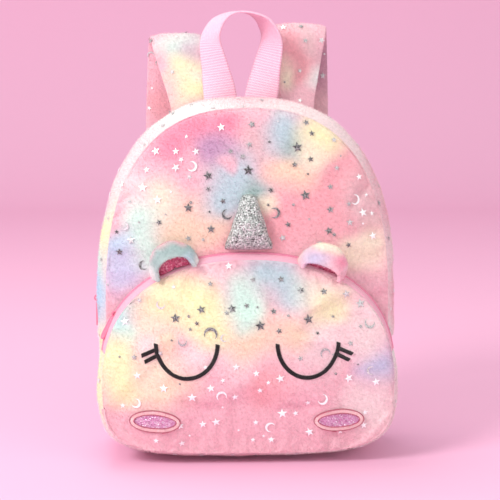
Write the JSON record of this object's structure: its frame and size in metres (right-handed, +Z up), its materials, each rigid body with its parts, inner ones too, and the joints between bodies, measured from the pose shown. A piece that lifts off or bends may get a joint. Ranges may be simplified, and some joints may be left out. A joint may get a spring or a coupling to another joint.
{
  "type": "kids animal backpack",
  "caption": "Small child's plush backpack with a sleeping animal face, horn and ears on its front pocket, padded straps and a webbing handle.",
  "frame": {"origin": "middle of the flat underside of the main compartment, on the surface the bag stands on", "axes": "+Z up, -Y out of the bag's front, +X to the right seen from the front"},
  "size_m": [0.2356, 0.1565, 0.3418],
  "materials": {
    "plush_body": "short dyed plush with foil stars",
    "plush_pocket": "short dyed plush with foil stars",
    "plush_gusset": "short dyed plush with foil stars",
    "plush_straps": "short dyed plush with foil stars",
    "plush_ears": "short dyed plush",
    "zip_tape": "woven tape with moulded teeth",
    "webbing": "ribbed woven webbing",
    "silver_glitter": "glitter cloth",
    "crimson_glitter": "glitter cloth",
    "lilac_glitter": "glitter cloth",
    "pink_satin": "satin stitching",
    "black_satin": "satin stitching",
    "pull_enamel": "gloss enamel",
    "slide_plastic": "satin moulded"
  },
  "bodies": {
    "bag": {"main_front_panel": "plush_body", "back_panel": "plush_body", "gusset_front_strip": "plush_gusset", "gusset_back_strip": "plush_gusset", "bottom_gusset": "plush_gusset", "main_zip": "zip_tape", "pocket_front_panel": "plush_pocket", "pocket_gusset": "plush_gusset", "pocket_zip": "zip_tape", "main_zip_slider": "pull_enamel", "pocket_zip_slider": "pull_enamel", "horn": "silver_glitter", "handle": "webbing", "left_ear": "plush_ears", "left_ear_lining": "crimson_glitter", "left_eye": "black_satin", "left_cheek_patch": "lilac_glitter", "left_cheek_band": "pink_satin", "left_strap_pad": "plush_straps", "left_strap_webbing": "webbing", "left_corner_tab": "plush_straps", "left_strap_slide": "slide_plastic", "right_ear": "plush_ears", "right_ear_lining": "crimson_glitter", "right_eye": "black_satin", "right_cheek_patch": "lilac_glitter", "right_cheek_band": "pink_satin", "right_strap_pad": "plush_straps", "right_strap_webbing": "webbing", "right_corner_tab": "plush_straps", "right_strap_slide": "slide_plastic"},
    "main_pull": {"main_zip_pull": "pull_enamel"},
    "pocket_pull": {"pocket_zip_pull": "pull_enamel"}
  },
  "joints": [
    {"name": "main_zip_pull_swing", "type": "hinge", "parent": "bag", "child": "main_pull", "pos_m": [-0.11665, 0.008, 0.118], "axis": [0, 1, 0], "range_deg": [0, 150]},
    {"name": "pocket_zip_pull_swing", "type": "hinge", "parent": "bag", "child": "pocket_pull", "pos_m": [-0.10103, -0.04457, 0.11445], "axis": [-0.2588, 0.9434, 0.2072], "range_deg": [0, 150]}
  ]
}
